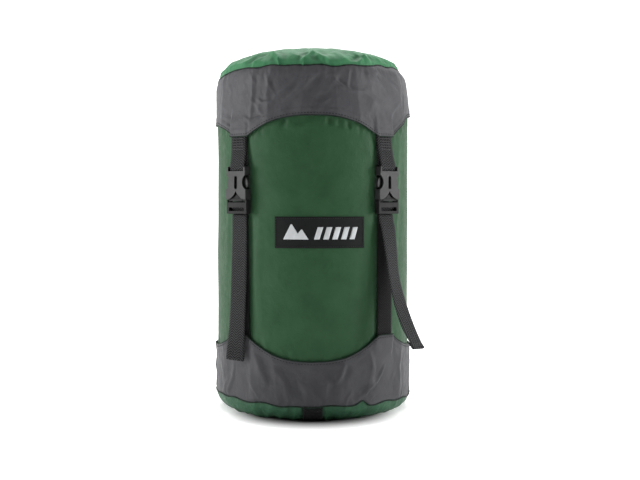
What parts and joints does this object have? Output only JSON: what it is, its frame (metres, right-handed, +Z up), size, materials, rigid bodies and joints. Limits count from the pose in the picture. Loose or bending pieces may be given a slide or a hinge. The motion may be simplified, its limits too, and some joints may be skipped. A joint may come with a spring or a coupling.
{
  "type": "compression sack",
  "caption": "Round fabric stuff sack with a floating lid cap, squeezed shorter by webbing straps with side-release buckles and ladder locks.",
  "frame": {"origin": "centre of the round base, on the surface that it stands on", "axes": "+Z up along the sack's axis, -Y to the front that carries the label, +X to the right of the front"},
  "size_m": [0.2318, 0.249, 0.39],
  "materials": {
    "green_nylon": "thin coated ripstop nylon, satin sheen",
    "lining": "thin coated ripstop nylon, satin sheen",
    "grey_nylon": "coated nylon, satin",
    "binding": "folded binding tape",
    "webbing": "woven polyester webbing",
    "label": "woven patch with a pale motif",
    "buckle_plastic": "moulded acetal, satin",
    "eyelet": "blackened brass eyelet"
  },
  "bodies": {
    "sack": {"sleeve": "green_nylon", "bottom_panel": "green_nylon", "bottom_band": "grey_nylon", "bottom_piping": "binding", "bottom_handle": "webbing", "label": "label", "lower_strap_front_right": "webbing", "lower_strap_back_right": "webbing", "lower_strap_back_left": "webbing", "lower_strap_front_left": "webbing"},
    "mouth": {"mouth_collar": "lining", "mouth_hem": "lining", "mouth_eyelet_left": "eyelet", "mouth_eyelet_right": "eyelet"},
    "lid": {"lid_panel": "green_nylon", "lid_skirt": "grey_nylon", "lid_piping": "binding", "upper_loop_front_right": "webbing", "buckle_socket_front_right": "buckle_plastic", "upper_loop_back_right": "webbing", "buckle_socket_back_right": "buckle_plastic", "upper_loop_back_left": "webbing", "buckle_socket_back_left": "buckle_plastic", "upper_loop_front_left": "webbing", "buckle_socket_front_left": "buckle_plastic"},
    "plug_front_right": {"buckle_plug_front_right": "buckle_plastic", "strap_turn_front_right": "webbing"},
    "left_prong_front_right": {"left_prong_front_right": "buckle_plastic"},
    "right_prong_front_right": {"right_prong_front_right": "buckle_plastic"},
    "tail_front_right": {"strap_tail_front_right": "webbing"},
    "plug_back_right": {"buckle_plug_back_right": "buckle_plastic", "strap_turn_back_right": "webbing"},
    "left_prong_back_right": {"left_prong_back_right": "buckle_plastic"},
    "right_prong_back_right": {"right_prong_back_right": "buckle_plastic"},
    "tail_back_right": {"strap_tail_back_right": "webbing"},
    "plug_back_left": {"buckle_plug_back_left": "buckle_plastic", "strap_turn_back_left": "webbing"},
    "left_prong_back_left": {"left_prong_back_left": "buckle_plastic"},
    "right_prong_back_left": {"right_prong_back_left": "buckle_plastic"},
    "tail_back_left": {"strap_tail_back_left": "webbing"},
    "plug_front_left": {"buckle_plug_front_left": "buckle_plastic", "strap_turn_front_left": "webbing"},
    "left_prong_front_left": {"left_prong_front_left": "buckle_plastic"},
    "right_prong_front_left": {"right_prong_front_left": "buckle_plastic"},
    "tail_front_left": {"strap_tail_front_left": "webbing"}
  },
  "joints": [
    {"name": "compress", "type": "slide", "parent": "sack", "child": "mouth", "axis": [0, 0, 1], "range_m": [-0.055, 0], "deforming": ["sleeve", "label", "lower_strap_front_right", "lower_strap_back_right", "lower_strap_back_left", "lower_strap_front_left"]},
    {"name": "lid_lift", "type": "slide", "parent": "mouth", "child": "lid", "axis": [0, 0, 1], "range_m": [0, 0.17], "deforming": ["left_prong_front_right", "right_prong_front_right", "left_prong_back_right", "right_prong_back_right", "left_prong_back_left", "right_prong_back_left", "left_prong_front_left", "right_prong_front_left"]},
    {"name": "strap_slide_front_right", "type": "slide", "parent": "sack", "child": "plug_front_right", "axis": [0, 0, 1], "range_m": [-0.055, 0]},
    {"name": "squeeze_left_front_right", "type": "hinge", "parent": "plug_front_right", "child": "left_prong_front_right", "pos_m": [0.06995, -0.08504, 0.2286], "axis": [-0.6225, 0.7826, 0], "range_deg": [0, 10], "stiffness_Nm_per_rad": 0.5},
    {"name": "squeeze_right_front_right", "type": "hinge", "parent": "plug_front_right", "child": "right_prong_front_right", "pos_m": [0.08435, -0.07359, 0.2286], "axis": [0.6225, -0.7826, 0], "range_deg": [0, 10], "stiffness_Nm_per_rad": 0.5},
    {"name": "tail_swing_front_right", "type": "hinge", "parent": "plug_front_right", "child": "tail_front_right", "pos_m": [0.07596, -0.07783, 0.2106], "axis": [-0.7826, -0.6225, 0], "range_deg": [0, 80]},
    {"name": "strap_slide_back_right", "type": "slide", "parent": "sack", "child": "plug_back_right", "axis": [0, 0, 1], "range_m": [-0.055, 0]},
    {"name": "squeeze_left_back_right", "type": "hinge", "parent": "plug_back_right", "child": "left_prong_back_right", "pos_m": [0.08435, 0.07359, 0.2286], "axis": [-0.6225, -0.7826, 0], "range_deg": [0, 10], "stiffness_Nm_per_rad": 0.5},
    {"name": "squeeze_right_back_right", "type": "hinge", "parent": "plug_back_right", "child": "right_prong_back_right", "pos_m": [0.06995, 0.08504, 0.2286], "axis": [0.6225, 0.7826, 0], "range_deg": [0, 10], "stiffness_Nm_per_rad": 0.5},
    {"name": "tail_swing_back_right", "type": "hinge", "parent": "plug_back_right", "child": "tail_back_right", "pos_m": [0.07596, 0.07783, 0.2106], "axis": [0.7826, -0.6225, 0], "range_deg": [0, 80]},
    {"name": "strap_slide_back_left", "type": "slide", "parent": "sack", "child": "plug_back_left", "axis": [0, 0, 1], "range_m": [-0.055, 0]},
    {"name": "squeeze_left_back_left", "type": "hinge", "parent": "plug_back_left", "child": "left_prong_back_left", "pos_m": [-0.06995, 0.08504, 0.2286], "axis": [0.6225, -0.7826, 0], "range_deg": [0, 10], "stiffness_Nm_per_rad": 0.5},
    {"name": "squeeze_right_back_left", "type": "hinge", "parent": "plug_back_left", "child": "right_prong_back_left", "pos_m": [-0.08435, 0.07359, 0.2286], "axis": [-0.6225, 0.7826, 0], "range_deg": [0, 10], "stiffness_Nm_per_rad": 0.5},
    {"name": "tail_swing_back_left", "type": "hinge", "parent": "plug_back_left", "child": "tail_back_left", "pos_m": [-0.07596, 0.07783, 0.2106], "axis": [0.7826, 0.6225, 0], "range_deg": [0, 80]},
    {"name": "strap_slide_front_left", "type": "slide", "parent": "sack", "child": "plug_front_left", "axis": [0, 0, 1], "range_m": [-0.055, 0]},
    {"name": "squeeze_left_front_left", "type": "hinge", "parent": "plug_front_left", "child": "left_prong_front_left", "pos_m": [-0.08435, -0.07359, 0.2286], "axis": [0.6225, 0.7826, 0], "range_deg": [0, 10], "stiffness_Nm_per_rad": 0.5},
    {"name": "squeeze_right_front_left", "type": "hinge", "parent": "plug_front_left", "child": "right_prong_front_left", "pos_m": [-0.06995, -0.08504, 0.2286], "axis": [-0.6225, -0.7826, 0], "range_deg": [0, 10], "stiffness_Nm_per_rad": 0.5},
    {"name": "tail_swing_front_left", "type": "hinge", "parent": "plug_front_left", "child": "tail_front_left", "pos_m": [-0.07596, -0.07783, 0.2106], "axis": [-0.7826, 0.6225, 0], "range_deg": [0, 80]}
  ],
  "couplings": [
    {"joint": "strap_slide_front_right", "follows": "compress", "ratio": 1},
    {"joint": "squeeze_right_front_right", "follows": "squeeze_left_front_right", "ratio": 1},
    {"joint": "strap_slide_back_right", "follows": "compress", "ratio": 1},
    {"joint": "squeeze_right_back_right", "follows": "squeeze_left_back_right", "ratio": 1},
    {"joint": "strap_slide_back_left", "follows": "compress", "ratio": 1},
    {"joint": "squeeze_right_back_left", "follows": "squeeze_left_back_left", "ratio": 1},
    {"joint": "strap_slide_front_left", "follows": "compress", "ratio": 1},
    {"joint": "squeeze_right_front_left", "follows": "squeeze_left_front_left", "ratio": 1}
  ]
}
